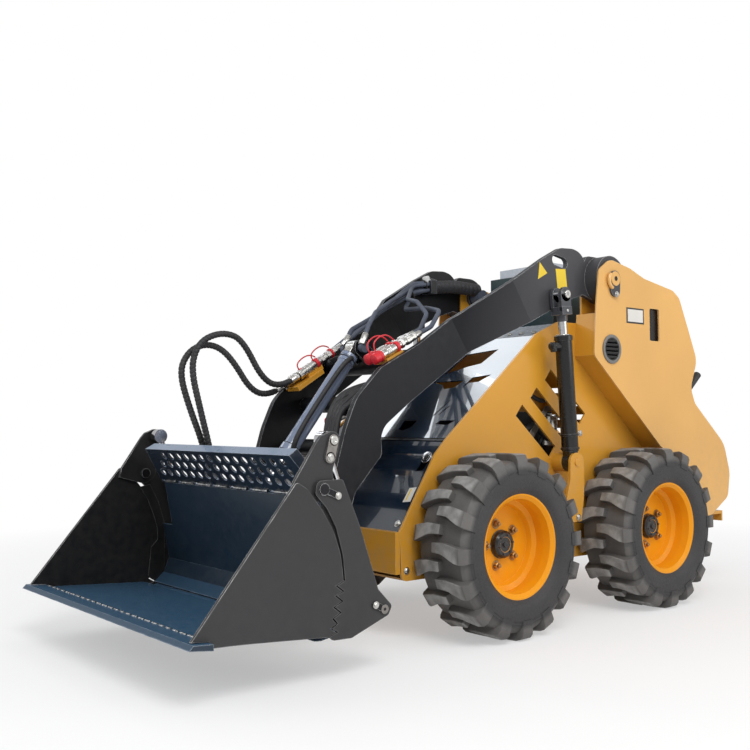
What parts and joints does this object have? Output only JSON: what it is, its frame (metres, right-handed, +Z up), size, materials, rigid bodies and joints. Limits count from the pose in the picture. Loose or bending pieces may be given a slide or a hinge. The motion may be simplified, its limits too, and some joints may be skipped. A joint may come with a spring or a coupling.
{
  "type": "stand-on wheeled skid steer loader",
  "caption": "compact stand-on wheeled skid steer loader with cranked lift arms and a two-part clamshell bucket, all joints working",
  "frame": {"origin": "on the ground below the middle of the machine", "axes": "+Z up, -Y forwards towards the bucket, +X towards the machine's left side"},
  "size_m": [1.112, 2.5963, 1.3152],
  "materials": {
    "arm_charcoal": "satin",
    "bucket_charcoal": "satin",
    "cap_red": "matte",
    "console_teal": "satin",
    "cylinder_blue": "semi gloss",
    "engine_iron": "rough",
    "hood_navy": "gloss",
    "hose_rubber": "matte",
    "loader_yellow": "semi gloss",
    "panel_grey": "satin",
    "pin_steel": "satin",
    "rim_orange": "semi gloss",
    "rod_chrome": "polished",
    "tyre_rubber": "matte"
  },
  "bodies": {
    "chassis": {"frame_side_left": "loader_yellow", "frame_side_right": "loader_yellow", "belly_pan": "loader_yellow", "front_beam": "loader_yellow", "hood_lower": "hood_navy", "hood_upper": "hood_navy", "top_deck": "panel_grey", "cheek_left": "loader_yellow", "cheek_right": "loader_yellow", "cheek_boxes": "loader_yellow", "cheek_vents": "loader_yellow", "rear_panel": "loader_yellow", "engine_block": "engine_iron", "console": "console_teal", "instrument_panel": "panel_grey", "platform": "loader_yellow", "lift_mounts": "loader_yellow", "wheel_motors": "arm_charcoal", "hand_grips": "hose_rubber"},
    "boom": {"arm_left": "arm_charcoal", "arm_right": "arm_charcoal", "boom_pivots": "loader_yellow", "boom_cross_upper": "arm_charcoal", "boom_cross_middle": "arm_charcoal", "boom_cross_lower": "arm_charcoal", "hydraulic_lines": "hose_rubber", "couplers_left": "cap_red", "couplers_right": "cap_red", "coupler_brackets": "loader_yellow", "hose_outer": "hose_rubber", "hose_inner": "hose_rubber"},
    "bucket": {"quick_attach": "bucket_charcoal", "moldboard": "bucket_charcoal", "bucket_sides": "bucket_charcoal", "spill_guard": "bucket_charcoal", "clam_pins": "pin_steel"},
    "clam": {"clam_sides": "bucket_charcoal", "clam_ears": "bucket_charcoal", "clam_floor": "bucket_charcoal", "cutting_edge": "bucket_charcoal"},
    "tilt_tube": {"tilt_barrel": "cylinder_blue"},
    "tilt_shaft": {"tilt_rod": "rod_chrome"},
    "lift_tube_left": {"lift_barrel_left": "cylinder_blue"},
    "lift_shaft_left": {"lift_rod_left": "rod_chrome"},
    "clam_tube_left": {"clam_barrel_left": "cylinder_blue"},
    "clam_shaft_left": {"clam_rod_left": "rod_chrome"},
    "lift_tube_right": {"lift_barrel_right": "cylinder_blue"},
    "lift_shaft_right": {"lift_rod_right": "rod_chrome"},
    "clam_tube_right": {"clam_barrel_right": "cylinder_blue"},
    "clam_shaft_right": {"clam_rod_right": "rod_chrome"},
    "wheel_front_left": {"tyre_front_left": "tyre_rubber", "rim_front_left": "rim_orange"},
    "wheel_front_right": {"tyre_front_right": "tyre_rubber", "rim_front_right": "rim_orange"},
    "wheel_rear_left": {"tyre_rear_left": "tyre_rubber", "rim_rear_left": "rim_orange"},
    "wheel_rear_right": {"tyre_rear_right": "tyre_rubber", "rim_rear_right": "rim_orange"}
  },
  "joints": [
    {"name": "front_left_spin", "type": "hinge", "parent": "chassis", "child": "wheel_front_left", "pos_m": [0.442, -0.122, 0.292], "axis": [1, 0, 0], "continuous": true},
    {"name": "front_right_spin", "type": "hinge", "parent": "chassis", "child": "wheel_front_right", "pos_m": [-0.442, -0.122, 0.292], "axis": [1, 0, 0], "continuous": true},
    {"name": "rear_left_spin", "type": "hinge", "parent": "chassis", "child": "wheel_rear_left", "pos_m": [0.442, 0.678, 0.292], "axis": [1, 0, 0], "continuous": true},
    {"name": "rear_right_spin", "type": "hinge", "parent": "chassis", "child": "wheel_rear_right", "pos_m": [-0.442, 0.678, 0.292], "axis": [1, 0, 0], "continuous": true},
    {"name": "boom_lift", "type": "hinge", "parent": "chassis", "child": "boom", "pos_m": [0, 0.527, 1.211], "axis": [-1, 0, 0], "range_deg": [-4, 75]},
    {"name": "lift_swing_left", "type": "hinge", "parent": "chassis", "child": "lift_tube_left", "pos_m": [0.387, 0.305, 0.539], "axis": [-1, 0, 0], "range_deg": [-0.89, 7.87]},
    {"name": "lift_slide_left", "type": "slide", "parent": "lift_tube_left", "child": "lift_shaft_left", "axis": [0, -0.0755, 0.9971], "range_m": [-0.0196, 0.3325]},
    {"name": "lift_swing_right", "type": "hinge", "parent": "chassis", "child": "lift_tube_right", "pos_m": [-0.387, 0.305, 0.539], "axis": [-1, 0, 0], "range_deg": [-0.89, 7.87]},
    {"name": "lift_slide_right", "type": "slide", "parent": "lift_tube_right", "child": "lift_shaft_right", "axis": [0, -0.0755, 0.9971], "range_m": [-0.0196, 0.3325]},
    {"name": "bucket_tilt", "type": "hinge", "parent": "boom", "child": "bucket", "pos_m": [0, -0.671, 0.258], "axis": [1, 0, 0], "range_deg": [-20, 55], "deforming": ["hose_outer", "hose_inner"]},
    {"name": "tilt_swing", "type": "hinge", "parent": "boom", "child": "tilt_tube", "pos_m": [0, -0.367, 0.938], "axis": [1, 0, 0], "range_deg": [-1.98, 1.04]},
    {"name": "tilt_slide", "type": "slide", "parent": "tilt_tube", "child": "tilt_shaft", "axis": [0, -0.6224, -0.7827], "range_m": [-0.0665, 0.1793]},
    {"name": "clam_open", "type": "hinge", "parent": "bucket", "child": "clam", "pos_m": [0, -0.8925, 0.509], "axis": [-1, 0, 0], "range_deg": [0, 60]},
    {"name": "clam_swing_left", "type": "hinge", "parent": "bucket", "child": "clam_tube_left", "pos_m": [0.485, -0.6875, 0.171], "axis": [-1, 0, 0], "range_deg": [-0.5, 9.95]},
    {"name": "clam_slide_left", "type": "slide", "parent": "clam_tube_left", "child": "clam_shaft_left", "axis": [0, -0.3379, 0.9412], "range_m": [-0.1155, 0.002]},
    {"name": "clam_swing_right", "type": "hinge", "parent": "bucket", "child": "clam_tube_right", "pos_m": [-0.485, -0.6875, 0.171], "axis": [-1, 0, 0], "range_deg": [-0.5, 9.95]},
    {"name": "clam_slide_right", "type": "slide", "parent": "clam_tube_right", "child": "clam_shaft_right", "axis": [0, -0.3379, 0.9412], "range_m": [-0.1155, 0.002]}
  ],
  "couplings": [
    {"joint": "lift_swing_left", "follows": "boom_lift", "ratio": 0.09821},
    {"joint": "lift_slide_left", "follows": "boom_lift", "m_per_rad": 0.25248},
    {"joint": "lift_swing_right", "follows": "boom_lift", "ratio": 0.09821},
    {"joint": "lift_slide_right", "follows": "boom_lift", "m_per_rad": 0.25248},
    {"joint": "tilt_swing", "follows": "bucket_tilt", "ratio": -0.02691},
    {"joint": "tilt_slide", "follows": "bucket_tilt", "m_per_rad": 0.1847},
    {"joint": "clam_swing_left", "follows": "clam_open", "ratio": 0.15744},
    {"joint": "clam_slide_left", "follows": "clam_open", "m_per_rad": -0.1084},
    {"joint": "clam_swing_right", "follows": "clam_open", "ratio": 0.15744},
    {"joint": "clam_slide_right", "follows": "clam_open", "m_per_rad": -0.1084}
  ]
}
